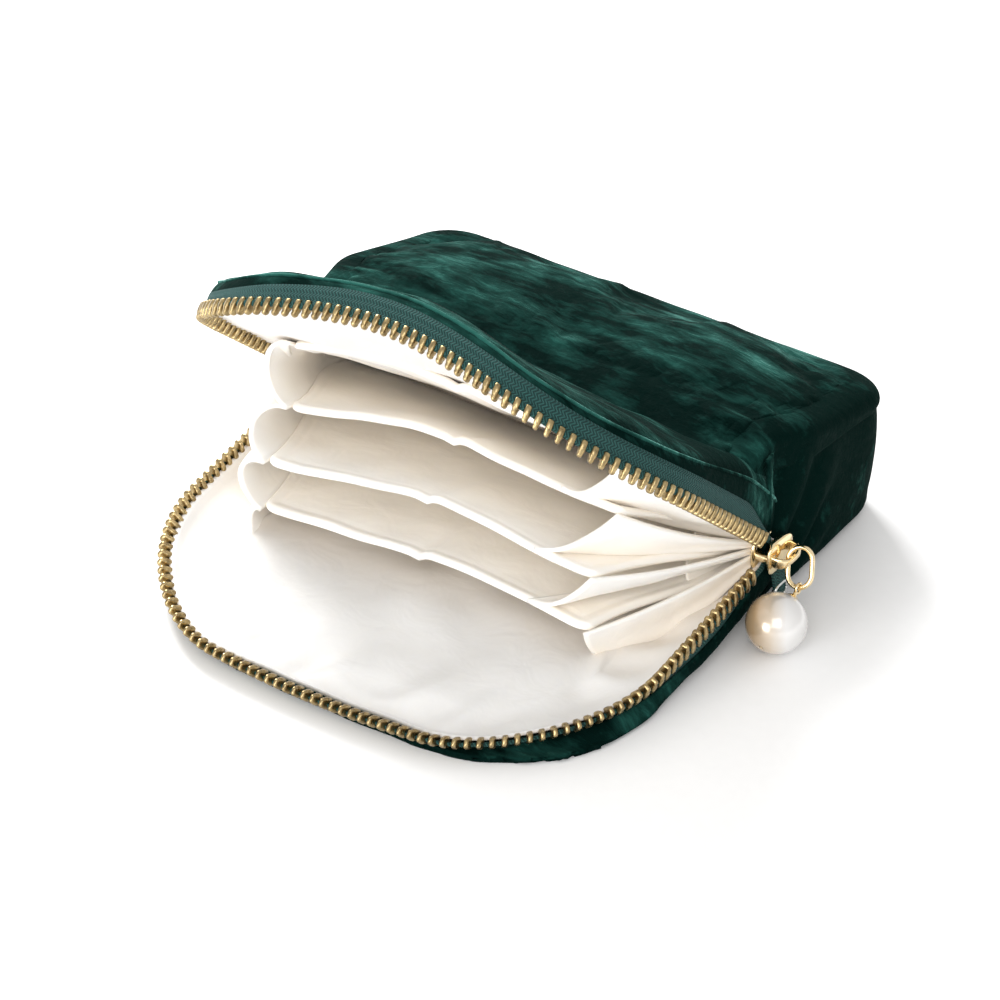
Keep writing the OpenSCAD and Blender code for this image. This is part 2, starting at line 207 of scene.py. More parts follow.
def stack_places(rows):
    """The same for rows of (x, y, z), where a plain number holds for the whole row."""
    return stack_rows([np.stack(np.broadcast_arrays(*row), -1) for row in rows])


def outward(heading):
    """Level unit vectors that point out of the case along the zipper."""
    return np.stack([np.sin(heading), -np.cos(heading), np.zeros_like(heading)], -1)


def rear_outline(front_y, count):
    """Places round both ends and the rear: distance from the middle, x, y, and outward x, y."""
    side_len = SPINE - REAR_CORNER - front_y
    arc_len = REAR_CORNER * math.pi / 2
    rear_half = HALF_W - REAR_CORNER
    half = rear_half + arc_len + side_len
    w = np.linspace(-half, half, count)
    v, sign = np.abs(w), np.where(w < 0, -1.0, 1.0)
    turn = np.clip((v - rear_half) / REAR_CORNER, 0, math.pi / 2)
    x = sign * (np.minimum(v, rear_half) + REAR_CORNER * np.sin(turn))
    y = SPINE - REAR_CORNER + REAR_CORNER * np.cos(turn) - np.maximum(v - rear_half - arc_len, 0)
    return w, x, y, sign * np.sin(turn), np.cos(turn)


# ---- meshes ----------------------------------------------------------------

def shade_smooth(mesh):
    mesh.polygons.foreach_set("use_smooth", [True] * len(mesh.polygons))


def new_object(name, verts, faces, material, uv=None):
    mesh = bpy.data.meshes.new(name)
    mesh.from_pydata([tuple(v) for v in np.asarray(verts) * MM], [], [tuple(f) for f in faces])
    mesh.update()
    shade_smooth(mesh)
    if uv is not None:
        layer = mesh.uv_layers.new(name="UVMap")
        corners = np.zeros(len(mesh.loops), int)
        mesh.loops.foreach_get("vertex_index", corners)
        layer.data.foreach_set("uv", np.asarray(uv, float)[corners].ravel())
    obj = bpy.data.objects.new(name, mesh)
    bpy.context.scene.collection.objects.link(obj)
    obj.data.materials.append(material)
    return obj


def grid_faces(columns, rows, wrap=False):
    faces = []
    for i in range(columns if wrap else columns - 1):
        for j in range(rows - 1):
            a, b = i * rows + j, (i + 1) % columns * rows + j
            faces.append((a, b, b + 1, a + 1))
    return faces


def sheet(name, points, material, uv=None):
    """A smooth sheet through columns by rows of points."""
    columns, rows = points.shape[:2]
    flat_uv = None if uv is None else uv.reshape(-1, 2)
    return new_object(name, points.reshape(-1, 3), grid_faces(columns, rows), material, flat_uv)


def apply_modifiers(obj):
    evaluated = obj.evaluated_get(bpy.context.evaluated_depsgraph_get())
    mesh = bpy.data.meshes.new_from_object(evaluated)
    obj.modifiers.clear()
    obj.data = mesh
    return obj


def thicken(obj, thickness, offset=-1.0):
    """Gives a sheet its thickness in millimetres; -1 keeps the outer face in place."""
    modifier = obj.modifiers.new("thickness", "SOLIDIFY")
    modifier.thickness = thickness * MM
    modifier.offset = offset
    bpy.context.view_layer.update()
    return apply_modifiers(obj)


def subdivide(obj):
    modifier = obj.modifiers.new("smoother", "SUBSURF")
    modifier.levels = 1
    modifier.render_levels = 1
    bpy.context.view_layer.update()
    return apply_modifiers(obj)


def settle(obj, held, most):
    """Lets a padded sheet puff and pucker as cloth while the held points stay; most is in mm."""
    count = len(obj.data.vertices)
    before = np.zeros(count * 3)
    obj.data.vertices.foreach_get("co", before)
    group = obj.vertex_groups.new(name="held")
    group.add([int(k) for k in held], 1.0, "REPLACE")
    modifier = obj.modifiers.new("cloth", "CLOTH")
    cloth = modifier.settings
    cloth.quality = 5
    cloth.mass = 0.25
    cloth.tension_stiffness = cloth.compression_stiffness = 12
    cloth.shear_stiffness = 4
    cloth.bending_stiffness = 0.3
    cloth.shrink_min = -0.035
    cloth.use_pressure = True
    cloth.uniform_pressure_force = 1.5
    cloth.vertex_group_mass = "held"
    cloth.effector_weights.gravity = 0
    modifier.collision_settings.use_collision = False
    modifier.point_cache.frame_start = 1
    modifier.point_cache.frame_end = CLOTH_FRAMES
    for number in range(1, CLOTH_FRAMES + 1):
        bpy.context.scene.frame_set(number)
    apply_modifiers(obj)
    bpy.context.scene.frame_set(1)
    after = np.zeros(count * 3)
    obj.data.vertices.foreach_get("co", after)
    moved = (after - before).reshape(-1, 3) / MM
    length = np.linalg.norm(moved, axis=1, keepdims=True)
    moved *= most * np.tanh(length / most) / np.maximum(length, 1e-6)
    obj.data.vertices.foreach_set("co", before + (moved * MM).ravel())


def turn_outwards(obj, weld=0.0):
    """Merges points nearer than weld millimetres and turns all faces of a closed mesh outwards."""
    bm = bmesh.new()
    bm.from_mesh(obj.data)
    if weld:
        bmesh.ops.remove_doubles(bm, verts=bm.verts, dist=weld * MM)
    bmesh.ops.recalc_face_normals(bm, faces=bm.faces)
    bm.to_mesh(obj.data)
    bm.free()
    return obj


def halves(obj):
    """Splits a lid piece at its middle into a right and a left half."""
    made = []
    for side, sign in (("right", 1), ("left", -1)):
        half = obj.copy()
        half.data = obj.data.copy()
        half.name = f"{obj.name}_{side}"
        bpy.context.scene.collection.objects.link(half)
        bm = bmesh.new()
        bm.from_mesh(half.data)
        away = [f for f in bm.faces if f.calc_center_median().x * sign < 0]
        bmesh.ops.delete(bm, geom=away, context="FACES")
        bm.to_mesh(half.data)
        bm.free()
        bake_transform(half)
        made.append(half)
    bpy.data.objects.remove(obj)
    return made


def bevel(obj, width):
    modifier = obj.modifiers.new("bevel", "BEVEL")
    modifier.width = width * MM
    modifier.segments = 3
    modifier.limit_method = "ANGLE"


# ---- materials -------------------------------------------------------------

class Nodes:
    """A material's node tree, with short ways to add and join nodes."""

    def __init__(self, name):
        self.material = bpy.data.materials.new(name)
        self.material.use_nodes = True
        self.tree = self.material.node_tree
        self.bsdf = self.tree.nodes["Principled BSDF"]
        self.object_space = self.add("ShaderNodeTexCoord").outputs["Object"]

    def add(self, kind, **settings):
        node = self.tree.nodes.new(kind)
        for key, value in settings.items():
            if key in node.inputs:
                node.inputs[key].default_value = value
            else:
                setattr(node, key, value)
        return node

    def join(self, output, target):
        self.tree.links.new(output, target)
        return target

    def noise(self, scale, detail=4, roughness=0.5, distortion=0.0, vector=None):
        node = self.add("ShaderNodeTexNoise", Scale=scale, Detail=detail, Roughness=roughness,
                        Distortion=distortion)
        self.join(vector or self.object_space, node.inputs["Vector"])
        return node.outputs["Fac"]

    def stretched(self, sx, sy, sz, turn=(0, 0, 0)):
        node = self.add("ShaderNodeMapping")
        node.inputs["Scale"].default_value = (sx, sy, sz)
        node.inputs["Rotation"].default_value = turn
        self.join(self.object_space, node.inputs["Vector"])
        return node.outputs["Vector"]

    def ramp(self, value, *stops):
        """A ramp with (position, colour) stops; a colour is a grey number or an rgb tuple."""
        node = self.add("ShaderNodeValToRGB")
        elements = node.color_ramp.elements
        while len(elements) < len(stops):
            elements.new(0.5)
        for element, (position, colour) in zip(elements, stops):
            rgb = (colour,) * 3 if isinstance(colour, (int, float)) else colour
            element.position = position
            element.color = (*rgb, 1)
        self.join(value, node.inputs["Fac"])
        return node.outputs["Color"]

    def math(self, operation, a, b=0.0, c=0.0):
        node = self.add("ShaderNodeMath", operation=operation)
        for slot, value in zip(node.inputs, (a, b, c)):
            if isinstance(value, (int, float)):
                slot.default_value = value
            else:
                self.join(value, slot)
        return node.outputs[0]

    def mix(self, factor, a, b, blend_type="MIX"):
        node = self.add("ShaderNodeMixRGB", blend_type=blend_type)
        for slot, value in zip(node.inputs, (factor, a, b)):
            if isinstance(value, (int, float)):
                slot.default_value = value if slot.name == "Fac" else (value,) * 3 + (1,)
            elif isinstance(value, tuple):
                slot.default_value = (*value, 1)
            else:
                self.join(value, slot)
        return node.outputs["Color"]

    def bump(self, height, strength, distance, normal=None):
        node = self.add("ShaderNodeBump", Strength=strength, Distance=distance * MM)
        self.join(height, node.inputs["Height"])
        if normal is not None:
            self.join(normal, node.inputs["Normal"])
        return node.outputs["Normal"]

    def finish(self, **sockets):
        for key, value in sockets.items():
            slot = self.bsdf.inputs[key.replace("_", " ")]
            if isinstance(value, (int, float)):
                slot.default_value = value
            elif isinstance(value, tuple):
                slot.default_value = (*value, 1) if len(value) == 3 and slot.type == "RGBA" else value
            else:
                self.join(value, slot)
        return self.material


def velvet_material(name, painted_sheen=0.0):
    """Crushed velvet: dark green pile with teal patches where it lies over, plus painted light:
    surfaces facing up are painted lighter and tealer, and the second argument lightens the whole
    colour for a painted sheen.
    """
    t = Nodes(name)
    crushed = t.noise(31, 3, 0.55, 0.35, t.stretched(0.85, 1.4, 1.2, (0.3, 0.2, 0.5)))
    streaks = t.noise(125, 5, 0.68, 0.3, t.stretched(0.6, 1.9, 1.0, (0, 0.3, 0.4)))
    pile_and_top_light = t.math("ADD", t.math("MULTIPLY", crushed, 0.55), t.math("MULTIPLY", streaks, 0.45))
    split = t.add("ShaderNodeSeparateXYZ")
    t.join(t.add("ShaderNodeNewGeometry").outputs["Normal"], split.inputs[0])
    # painted top light: the upward part of the normal lifts the patch mask, so tops are painted
    # lighter; the second argument lifts it everywhere as painted sheen
    painted_top_light = t.math("MULTIPLY_ADD", split.outputs["Z"], 0.075, painted_sheen - 0.068)
    pile_and_top_light = t.math("ADD", pile_and_top_light, painted_top_light)
    patches_and_top_light = t.ramp(pile_and_top_light, (0.46, 0.0), (0.55, 0.28), (0.65, 1.0))
    # colour and sheen tint follow the patch mask, which carries the painted top light
    colour = t.mix(patches_and_top_light, (0.0006, 0.008, 0.0064), (0.017, 0.088, 0.072))
    tint = t.mix(patches_and_top_light, (0.02, 0.13, 0.1), (0.32, 0.7, 0.62))
    pile = t.noise(2600, 2, 0.7)
    nap = t.noise(420, 3, 0.6, 0.6)
    normal = t.bump(pile, 0.35, 0.25, t.bump(nap, 0.45, 0.5, t.bump(pile_and_top_light, 0.7, 2.2)))
    return t.finish(Base_Color=colour, Roughness=t.ramp(nap, (0.3, 0.8), (0.7, 1.0)),
                    Sheen_Weight=t.ramp(pile_and_top_light, (0.45, 0.08), (0.65, 0.9)), Sheen_Roughness=0.34,
                    Sheen_Tint=tint, Specular_IOR_Level=0.03, Normal=normal)


def tape_material():
    """Teal zipper tape in a herringbone weave, laid out along the tape's own coordinates."""
    t = Nodes("zipper_tape")
    uv = t.add("ShaderNodeUVMap", uv_map="UVMap").outputs["UV"]
    split = t.add("ShaderNodeSeparateXYZ")
    t.join(uv, split.inputs[0])
    zigzag = t.math("PINGPONG", t.math("MULTIPLY", split.outputs["Y"], 1.1), 1.0)
    phase = t.math("ADD", t.math("MULTIPLY", split.outputs["X"], 1.15), zigzag)
    yarn = t.math("SINE", t.math("MULTIPLY", phase, 2 * math.pi))
    weave = t.math("MULTIPLY_ADD", yarn, 0.5, 0.5)
    fuzz = t.noise(900, 3, 0.6)
    colour = t.mix(weave, (0.0025, 0.017, 0.016), (0.024, 0.088, 0.08))
    colour = t.mix(t.math("MULTIPLY", fuzz, 0.3), colour, (0.02, 0.075, 0.072))
    normal = t.bump(weave, 0.8, 0.35, t.bump(fuzz, 0.3, 0.2))
    return t.finish(Base_Color=colour, Roughness=0.85, Sheen_Weight=0.1, Sheen_Roughness=0.4,
                    Sheen_Tint=(0.35, 0.7, 0.68), Specular_IOR_Level=0.25, Normal=normal)


def satin_material(name, painted_recess_strength, pale, deep):
    """White satin: a fine weave, soft puckers, and a painted warm tone where little light reaches:
    painted shade when the recess colour is darker, painted light when it is lighter.
    """
    t = Nodes(name)
    # painted shade and light: the ambient occlusion mask blends the recess colour in where little
    # light reaches
    reach = t.add("ShaderNodeAmbientOcclusion", Distance=0.016, samples=8).outputs["AO"]
    shade = t.ramp(reach, (0.25, 1.0), (0.95, 0.0))
    colour = t.mix(t.math("MULTIPLY", shade, painted_recess_strength), pale, deep)
    weft = t.noise(1500, 2, 0.5, 0.0, t.stretched(1.0, 0.25, 1.0))
    pucker = t.noise(95, 3, 0.5, 0.5)
    colour = t.mix(t.math("MULTIPLY", pucker, 0.1), colour, (0.74, 0.71, 0.66))
    normal = t.bump(weft, 0.12, 0.12, t.bump(pucker, 0.4, 0.9))
    return t.finish(Base_Color=colour, Roughness=t.ramp(weft, (0.3, 0.42), (0.7, 0.58)),
                    Sheen_Weight=0.25, Sheen_Roughness=0.3, Specular_IOR_Level=0.4,
                    Subsurface_Weight=0.12, Subsurface_Radius=(0.004, 0.003, 0.002),
                    Subsurface_Scale=1.0, Normal=normal)


def metal_material(name, bright, dark, roughness, wear):
    """Plated metal with darker tarnish in patches and fine rubbed marks."""
    t = Nodes(name)
    tarnish = t.noise(620, 4, 0.6)
    rubbed = t.noise(2400, 2, 0.6, 0.0, t.stretched(1, 1, 0.2))
    colour = t.mix(t.ramp(tarnish, (0.35, 0.0), (0.75, wear)), bright, dark)
    rough = t.ramp(rubbed, (0.3, roughness * 0.8), (0.7, roughness * 1.35))
    return t.finish(Base_Color=colour, Metallic=1.0, Roughness=rough,
                    Normal=t.bump(rubbed, 0.08, 0.05))


def pearl_material():
    """Nacre under a clear coat, with painted light: browner painted shade where the surface faces -x
    and -y, silver white where it faces +x and +y, and a greyer painted rim where it turns away from
    view.
    """
    t = Nodes("pearl")
    split = t.add("ShaderNodeSeparateXYZ")
    t.join(t.add("ShaderNodeNewGeometry").outputs["Normal"], split.inputs[0])
    cloud = t.noise(140, 3, 0.5)
    # painted light and shade: the colour follows the normal's direction, browner on one side and
    # paler on the other
    painted_front_light = t.math("MULTIPLY", split.outputs["Y"], 0.45)
    painted_side_light = t.math("MULTIPLY_ADD", split.outputs["X"], 0.75, painted_front_light)
    painted_side_light = t.math("ADD", painted_side_light, t.math("MULTIPLY", cloud, 0.25))
    body = t.ramp(t.math("MULTIPLY_ADD", painted_side_light, 0.5, 0.5), (0.24, (0.4, 0.28, 0.16)),
                  (0.48, (0.56, 0.47, 0.37)), (0.7, (0.72, 0.71, 0.7)))
    # painted rim: edges turned away from view blend towards grey beige
    facing = t.add("ShaderNodeLayerWeight", Blend=0.3).outputs["Facing"]
    colour = t.mix(t.ramp(facing, (0.45, 0.0), (1.0, 0.75)), body, (0.5, 0.46, 0.42))
    return t.finish(Base_Color=colour, Metallic=0.25, Roughness=0.24, Coat_Weight=0.8,
                    Coat_Roughness=0.06, Normal=t.bump(cloud, 0.08, 0.4))


VELVET = velvet_material("velvet")
# painted sheen: a lighter copy of the velvet, for the bright line along the lid's rolled edge
VELVET_PAINTED_SHEEN = velvet_material("velvet_painted_sheen", 0.13)
TAPE = tape_material()
# painted shade: the recess colour is darker than the satin
SATIN = satin_material("satin", 0.75, (0.73, 0.72, 0.705), (0.68, 0.6, 0.51))
# painted light: the recess colour is lighter and warmer, brightening the pockets' depths
LEAF_SATIN = satin_material("leaf_satin", 0.9, (0.84, 0.83, 0.81), (0.96, 0.89, 0.79))
BRASS = metal_material("brass_teeth", (0.5, 0.38, 0.19), (0.13, 0.09, 0.045), 0.3, 0.9)
GOLD = metal_material("gold", (0.93, 0.76, 0.47), (0.62, 0.44, 0.22), 0.16, 0.35)
SILVER = metal_material("silver_seal", (0.78, 0.79, 0.77), (0.5, 0.52, 0.5), 0.22, 0.5)
PEARL = pearl_material()


# ---- velvet skins ----------------------------------------------------------

def lid_height(r):
    """Height of the lid over its rim plane: plump at the back, lower to the front."""
    return 17 - 5.5 * smooth((r - 15) / 75)


def lid_skin():
    """Velvet from the upper tape, over the rolled edge, and back under the rear of the top."""
    past_end = 4
    u = np.linspace(-CHAIN - past_end, CHAIN + past_end, 361)
    x, r, heading = rim(u)
    roll, rise_rows, top_rows = 9.5, 14, 46
    end_fold = smooth((np.abs(u) - CHAIN + 40) / 40)
    rows = []
    for j in range(rise_rows + 1):
        t = j / rise_rows * math.pi / 2
        tuck = 1.8 * smooth((12 - r) / 15)
        out = 0.1 - tuck - roll * (1 - math.cos(t) ** 0.8)
        rx, rr = x + out * np.sin(heading), r + out * np.cos(heading)
        up = lerp(tape_reach(u) - 0.2, lid_height(rr), math.sin(t) ** 0.8)
        rows.append((rx, rr, up))
    inner_x, inner_r, _ = rows[-1]
    back_x, back_r = 62 * u / CHAIN, np.full_like(u, -5.0)
    for j in range(1, top_rows + 1):
        t = j / top_rows
        rx, rr = lerp(inner_x, back_x, t), lerp(inner_r, back_r, t)
        rows.append((rx, rr, lid_height(rr)))
    flat = stack_places(rows)
    depth = np.linspace(0, 1, flat.shape[1])[None, :]
    edge = np.exp(-((depth - 0.16) / 0.16) ** 2)
    gathers = np.sin(np.abs(u)[:, None] / 3.4 + 3 * depth) * end_fold[:, None] * 0.4
    puckers = wander(flat * [1, 1, 0], 13, 3.1) * 0.35 + wander(flat * [1, 1, 0], 30, 8.2) * 0.9
    points = lid_point(flat[..., 0], flat[..., 1], flat[..., 2])
    lift = (gathers * edge + puckers * smooth(depth * 7))[..., None]
    points = points + normals_of(points) * lift
    skin = halves(thicken(sheet("lid_velvet", points, VELVET), VELVET_THICK))
    # painted sheen line: a thin tube in the lighter velvet copy along the lid's edge
    sheen_row = 5
    sheen_line = halves(tube("lid_painted_sheen_line", points[::2, sheen_row], 1.0, 1.0, VELVET_PAINTED_SHEEN, (0, 0, 1)))
    return skin + sheen_line


def top_panel():
    """The rear part of the top: a soft padded panel that wraps down over the ends."""
    front_y, wrap = -13, 6.5
    w, x, y, nx, ny = rear_outline(front_y, 241)
    forward = np.clip((SPINE - y) / (SPINE - front_y), 0, 1)
    flap = 2.2 + 6.2 * smooth(forward * 1.1)
    proud = 1 - 4.5 * smooth((17 - y) / 17)
    rows = []
    for j in range(5):
        t = j / 4
        out = proud - 0.5 * (1 - t)
        rows.append((x + nx * out, y + ny * out, -flap * (1 - t) - 1.2 * t))
    for j in range(1, 11):
        t = j / 10 * math.pi / 2
        out = proud - wrap * (1 - math.cos(t))
        rows.append((x + nx * out, y + ny * out, -1.2 + 3.2 * math.sin(t)))
    start_x, start_y, _ = rows[-1]
    end_x = 61 * w / w[-1]
    for j in range(1, 47):
        t = j / 46
        rx, ry = lerp(start_x, end_x, t), lerp(start_y, front_y, t)
        across = 1 - (rx / 66) ** 2
        along = np.clip((SPINE - ry) / (SPINE - front_y), 0, 1)
        crown = 4.2 * smooth(across * 1.4) * np.sin(math.pi * np.clip(along, 0.1, 0.78) ** 0.8)
        rows.append((rx, ry, 2 + crown))
    flat = stack_places(rows)
    soft = wander(flat * [1, 1, 0], 26, 5.5) * 0.6 + wander(flat * [1, 0.6, 0], 10, 1.7) * 0.3
    drag = np.hypot(flat[..., 0] - HALF_W, flat[..., 1] + 2)
    fan = np.arctan2(flat[..., 1] + 2, HALF_W - flat[..., 0] + 6)
    folds = np.sin(fan * 13) * 0.7 * smooth(1 - drag / 42) * smooth(drag / 8)
    inside = smooth((np.arange(flat.shape[1]) - 5)[None, :] / 12)
    dive = 8 * smooth((10 - flat[..., 1]) / 23) ** 2
    flat[..., 2] += (soft + folds) * inside - dive
    flat = slump(flat)
    lifted = flat.copy()
    reach = SPINE - flat[..., 1]
    c, s = math.cos(REAR_LIFT), math.sin(REAR_LIFT)
    lifted[..., 1] = SPINE - reach * c + flat[..., 2] * s
    lifted[..., 2] = REAR_AXIS.z + reach * s + flat[..., 2] * c
    panel = sheet("top_panel", lifted, VELVET)
    columns, count = lifted.shape[:2]
    grid = np.arange(columns * count).reshape(columns, count)
    held = np.concatenate([grid[:, :15].ravel(), grid[:, -12:].ravel(),
                           grid[:4].ravel(), grid[-4:].ravel()])
    settle(panel, held, 1.8)
    panel = thicken(subdivide(panel), VELVET_THICK)
    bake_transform(panel)
    return panel


def end_seam(y):
    """Height of the seam between the top and the ends."""
    return 34.6 + 0.19 * np.maximum(52 - y, 0)


def gusset(name, material, deeper, side_gathers):
    """One strip round the spine and both ends, gathered beside the slider; deeper sets it inwards."""
    front_y, under, roll = -2, 7, 5.5
    _, x, y, nx, ny = rear_outline(front_y, 441)
    tuck = 0.5 + deeper + 2.2 * smooth((14 - y) / 10)
    top = end_seam(y) + 0.8
    rows = []
    for j in range(9):
        t = j / 8 * math.pi / 2
        inset = under * (1 - math.sin(t)) + tuck
        rows.append((x - nx * inset, y - ny * inset, roll * (1 - math.cos(t))))
    for j in range(1, 31):
        t = j / 30
        belly = 0.9 * math.sin(math.pi * t)
        rows.append((x - nx * (tuck - belly), y - ny * (tuck - belly), lerp(roll, top, t)))
    points = stack_places(rows)
    out_dir = np.stack([nx, ny, np.zeros_like(nx)], -1)[:, None, :]
    fan = np.arctan2(points[..., 1] + 6, points[..., 2] + 6)
    window = smooth((34 - points[..., 1]) / 20) * smooth(points[..., 2] / 12)
    gathers = np.sin(fan * 19) * side_gathers * window
    soft = wander(points, 16, 2.2) * 0.6 * smooth(points[..., 2] / 8)
    points = slump(points + out_dir * (gathers + soft)[..., None])
    points[..., 2] = np.maximum(points[..., 2], 0.05)
    strip = thicken(sheet(name, points, material), 1.1)
    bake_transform(strip)
    return strip


def base_skin():
    """Velvet under the lower tape, rolled in to the flat bottom."""
    u = np.linspace(-CHAIN, CHAIN, 361)
    x, r, heading = rim(u)
    start = base_rim_point(u, 0.75, tape_reach(u) - 0.6)
    out_dir = outward(heading)
    edge = np.stack([x, -r, np.zeros_like(r)], -1)
    corner_full = np.exp(-((u - 68) / 34) ** 2)
    foot = edge - out_dir * (10.5 - 11.5 * corner_full)[:, None]
    start_out = ((start - edge) * out_dir).sum(-1)
    belly = edge + out_dir * (np.maximum(start_out, -3) + 2.4 + 4.6 * corner_full)[:, None]
    belly[:, 2] = start[:, 2] * 0.3
    rows = []
    for j in range(15):
        t = j / 14
        row = start * (1 - t) ** 2 + belly * 2 * t * (1 - t) + foot * t * t
        pucker = wander(row, 9, 6.6) * 0.5 * math.sin(math.pi * t)
        rows.append(row + out_dir * pucker[:, None])
    back = np.stack([60 * u / CHAIN, np.full_like(u, SPINE - 6), np.zeros_like(u)], -1)
    for j in range(1, 25):
        rows.append(lerp(foot, back, j / 24))
    points = stack_rows(rows)
    thickness = 0.9
    points[..., 2] = np.maximum(points[..., 2], thickness + 0.05)
    skin = thicken(sheet("base_velvet", points, VELVET), thickness, 1.0)
    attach(skin, "base")
    return skin


# ---- satin linings ---------------------------------------------------------

def base_lining():
    """Quilted satin from the lower tape down to the floor of the tray."""
    u = np.linspace(-CHAIN + 1, CHAIN - 1, 361)
    x, r, heading = rim(u)
    set_back = 4.2 * smooth((u + 36) / 26) * smooth((44 - u) / 26)
    start = base_rim_point(u, -LINING_GAP, LINING_DROP + set_back)
    out_dir = outward(heading)
    edge = np.stack([x, -r, np.zeros_like(r)], -1)
    foot = edge - out_dir * 17
    foot[:, 2] = TRAY_FLOOR
    knee = edge - out_dir * 8.5
    knee[:, 2] = np.maximum(start[:, 2] * 0.35, TRAY_FLOOR)
    rows = []
    for j in range(19):
        t = j / 18
        row = start * (1 - t) ** 2 + knee * 2 * t * (1 - t) + foot * t * t
        roll = 1.0 * math.exp(-((t - 0.07) / 0.07) ** 2)
        rows.append(row + np.array([0, 0, roll]))
    back = np.stack([58 * u / CHAIN, np.full_like(u, 12.0), np.full_like(u, TRAY_FLOOR)], -1)
    for j in range(1, 41):
        rows.append(lerp(foot, back, j / 40))
    points = stack_rows(rows)
    depth = np.arange(points.shape[1])[None, :] / 18
    radial = np.sin(u[:, None] / 3.1 + 2.5 * wander(points * [1, 1, 0], 30, 4.4))
    puckers = radial * 0.75 * np.exp(-((depth - 0.7) / 0.45) ** 2)
    soft = wander(points * [1, 1, 0], 17, 7.7) * 1.1 * smooth(depth * 1.5)
    plump = 1.6 * smooth((depth - 0.6) / 0.8)
    points[..., 2] += puckers + soft + plump
    points[..., 2] = np.maximum(points[..., 2], 1.6)
    lining = thicken(sheet("tray_lining", points, SATIN), SATIN_THICK)
    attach(lining, "base")
    return lining


def lid_lining():
    """Satin across the mouth of the lid, from beside the teeth to the back of the top pocket."""
    u = np.linspace(-CHAIN - 3, CHAIN + 3, 361)
    x, r, heading = rim(u)
    rows = []
    for j in range(9):
        t = j / 8 * math.pi / 2
        out = -LINING_GAP - 5 * (1 - math.cos(t))
        rx, rr = x + out * np.sin(heading), r + out * np.cos(heading)
        rows.append((rx, rr, LINING_DROP + 0.7 * math.sin(t)))
    inner_x, inner_r, inner_n = rows[-1]
    back_x = 62 * u / CHAIN
    for j in range(1, 45):
        t = j / 44
        rx, rr = lerp(inner_x, back_x, t), lerp(inner_r, -3, t)
        rows.append((rx, rr, inner_n + 9 * smooth((50 - rr) / 54) * smooth(t * 3)))
    flat = stack_places(rows)
    depth = np.arange(flat.shape[1])[None, :] / 8
    radial = np.sin(u[:, None] / 2.9 + wander(flat * [1, 1, 0], 25, 2.4))
    puckers = radial * 0.3 * np.exp(-((depth - 1.2) / 0.9) ** 2)
    soft = wander(flat * [1, 1, 0], 15, 9.1) * 0.5 * smooth(depth)
    flat[..., 2] += puckers + soft
    points = lid_point(flat[..., 0], flat[..., 1], flat[..., 2])
    return halves(thicken(sheet("lid_satin", points, SATIN), SATIN_THICK, 1.0))


# ---- zipper ----------------------------------------------------------------

def tape(name, place):
    """A woven tape beside one chain, with its cord under the teeth."""
    end = CHAIN + 2
    u = np.linspace(-end, end, 481)
    tuck = 2.2 * smooth((np.abs(u) - CHAIN + 6) / 8)
    reach = [(1.2, 0.0), (1.6, 0.55), (2.1, 0.7), (2.6, 0.45), (3.2, 0.12), (4.5, 0.05),
             (5.8, 0.0), (TAPE_EDGE + 0.9, -0.05)]
    narrow = tape_reach(u) / TAPE_EDGE
    rows = [place(u, out - tuck + 0.04 * np.sin(u / 2.1 + down), down * (narrow if down > 3 else 1))
            for down, out in reach]
    uv = np.stack(np.broadcast_arrays(u[:, None], np.array([d for d, _ in reach])[None, :]), -1)
    return thicken(sheet(name, stack_rows(rows), TAPE, uv), 0.5, 0.0)


def tooth_shape():
    """One cast tooth, pointing to +n: a waisted body, a domed head and a dimple behind it."""
    profile = [(-3.25, 0.55, 1.2), (-2.95, 0.74, 1.45), (-1.4, 0.8, 1.55), (-0.6, 0.72, 1.4),
               (-0.1, 0.6, 1.2), (0.35, 0.62, 1.2), (0.8, 0.5, 1.0), (1.1, 0.24, 0.6)]
    corners = 12
    verts = []
    for n, half_l, half_t in profile:
        for k in range(corners):
            a = 2 * math.pi * (k + 0.5) / corners
            verts.append((half_l * squarer(math.cos(a), 0.5), half_t * squarer(math.sin(a), 0.5), n))
    faces = []
    for i in range(len(profile) - 1):
        for k in range(corners):
            a, b = i * corners + k, i * corners + (k + 1) % corners
            faces.append((a, b, b + corners, a + corners))
    faces.append(tuple(range(corners))[::-1])
    faces.append(tuple(range((len(profile) - 1) * corners, len(profile) * corners)))
    return np.array(verts), faces


def teeth(name, places, place):
    """A row of teeth: each is carried to its place in the tape's own frame."""
    shape, faces = tooth_shape()
    all_verts, all_faces = [], []
    for u0 in places:
        offset = len(all_verts) * len(shape)
        along = u0 + shape[:, 0]
        all_verts.append(place(along, shape[:, 1], -shape[:, 2]))
        all_faces += [tuple(i + offset for i in face) for face in faces]
    return turn_outwards(new_object(name, np.concatenate(all_verts), all_faces, BRASS))


def zipper():
    count = int((CHAIN - TEETH_END) / PITCH)
    upper_tape = halves(tape("upper_tape_weave", lid_rim_point))
    lower_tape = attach(tape("lower_tape_weave", base_rim_point), "base")
    lower = teeth("lower_chain", [(k + 0.5) * PITCH for k in range(-count, count)], base_rim_point)
    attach(lower, "base")
    for side, sign, first in (("right", 1, 0), ("left", -1, 1)):
        row = teeth(f"upper_chain_{side}", [sign * k * PITCH for k in range(first, count + 1)],
                    lid_rim_point)
        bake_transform(row)
    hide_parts("upper_tape")
    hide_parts("lower_tape")
    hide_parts("upper_teeth")
    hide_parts("lower_teeth")


# ---- dividers --------------------------------------------------------------

def leaf_point(i, x, s, n):
    """A point of divider i: x across, s forward from its fold, n over its plane."""
    a, p = LEAF_ANGLES[i], LEAF_PIVOTS[i]
    place = np.broadcast_arrays(x, p.y - s * np.cos(a) + n * np.sin(a),
                                p.z + s * np.sin(a) + n * np.cos(a))
    return np.stack(place, -1)


